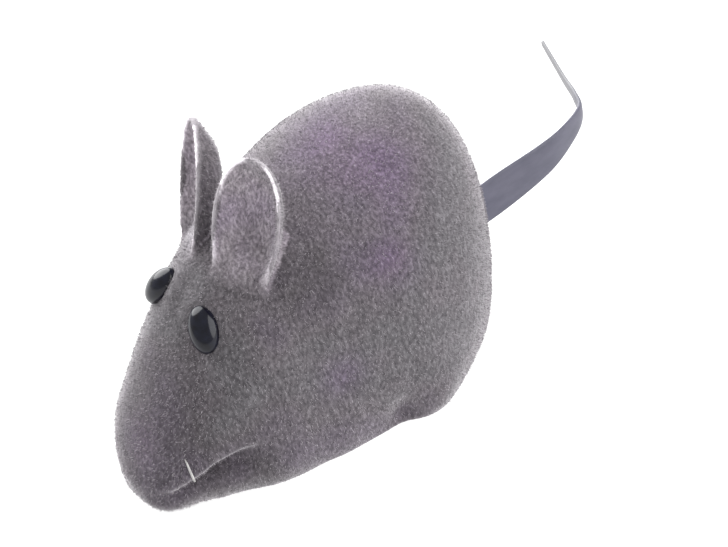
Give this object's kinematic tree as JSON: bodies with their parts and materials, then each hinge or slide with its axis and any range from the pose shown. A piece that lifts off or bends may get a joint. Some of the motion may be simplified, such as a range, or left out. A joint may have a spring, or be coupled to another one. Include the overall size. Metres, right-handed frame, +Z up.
{
  "type": "clockwork mouse",
  "caption": "Wind-up toy mouse: flocked soft body with upright ears and a flat tail over a wheeled base and clockwork.",
  "frame": {"origin": "on the floor, under the middle of the drive axle", "axes": "+Z up, -Y towards the nose, +Y along the tail, -X towards the winding key"},
  "size_m": [0.0517, 0.1051, 0.0557],
  "materials": {
    "flocked_vinyl": "short grey flock on soft vinyl",
    "eye_gloss": "glossy black bead",
    "whisker_nylon": "clear-white nylon bristle",
    "tail_vinyl": "smooth soft vinyl strip",
    "base_plastic": "moulded black plastic",
    "screw_steel": "zinc-plated screw",
    "arbor_steel": "turned steel",
    "plate_steel": "stamped tinplate",
    "spring_steel": "blued spring steel",
    "key_steel": "nickel-plated pressed steel",
    "gear_brass": "stamped brass",
    "wheel_plastic": "red moulded plastic",
    "tyre_rubber": "black rubber"
  },
  "bodies": {
    "root": {"body_shell": "flocked_vinyl", "eye_left": "eye_gloss", "eye_right": "eye_gloss", "whisker": "whisker_nylon", "tail": "tail_vinyl", "base_plate": "base_plastic", "base_screw_front": "screw_steel", "base_screw_rear": "screw_steel", "front_axle": "arbor_steel", "frame_plate_left": "plate_steel", "frame_plate_right": "plate_steel", "frame_pillar_1": "arbor_steel", "frame_pillar_2": "arbor_steel", "frame_pillar_3": "arbor_steel", "frame_pillar_4": "arbor_steel", "mainspring": "spring_steel"},
    "great": {"great_wheel": "gear_brass", "click_spring": "spring_steel"},
    "winding": {"winding_arbor": "arbor_steel", "winding_key": "key_steel", "ratchet_wheel": "spring_steel"},
    "click_arm": {"click": "spring_steel"},
    "second": {"second_arbor": "arbor_steel", "second_wheel": "gear_brass"},
    "third": {"third_arbor": "arbor_steel", "third_wheel": "gear_brass"},
    "drive": {"drive_axle": "arbor_steel", "wheel_left": "wheel_plastic", "wheel_right": "wheel_plastic", "tyre_left": "tyre_rubber", "tyre_right": "tyre_rubber"},
    "roller": {"front_roller": "wheel_plastic"}
  },
  "joints": [
    {"name": "run", "type": "hinge", "parent": "root", "child": "great", "pos_m": [0, 0.0095, 0.016], "axis": [-1, 0, 0], "continuous": true},
    {"name": "wind", "type": "hinge", "parent": "great", "child": "winding", "pos_m": [0, 0.0095, 0.016], "axis": [1, 0, 0], "range_deg": [0, 1728]},
    {"name": "click_lift", "type": "hinge", "parent": "great", "child": "click_arm", "pos_m": [0, 0.01356, 0.0212], "axis": [-1, 0, 0], "range_deg": [0, 9], "stiffness_Nm_per_rad": 0.0005, "springref_deg": -5.73},
    {"name": "second_turn", "type": "hinge", "parent": "root", "child": "second", "pos_m": [0, -0.0005, 0.02168], "axis": [1, 0, 0], "continuous": true},
    {"name": "third_turn", "type": "hinge", "parent": "root", "child": "third", "pos_m": [0, -0.00396, 0.01337], "axis": [1, 0, 0], "continuous": true},
    {"name": "drive_turn", "type": "hinge", "parent": "root", "child": "drive", "pos_m": [0, 0, 0.007], "axis": [1, 0, 0], "continuous": true},
    {"name": "front_roll", "type": "hinge", "parent": "root", "child": "roller", "pos_m": [0, -0.023, 0.004], "axis": [1, 0, 0], "continuous": true}
  ],
  "couplings": [
    {"joint": "second_turn", "follows": "run", "ratio": 3.6},
    {"joint": "third_turn", "follows": "run", "ratio": -9.36},
    {"joint": "drive_turn", "follows": "run", "ratio": 18.72}
  ]
}
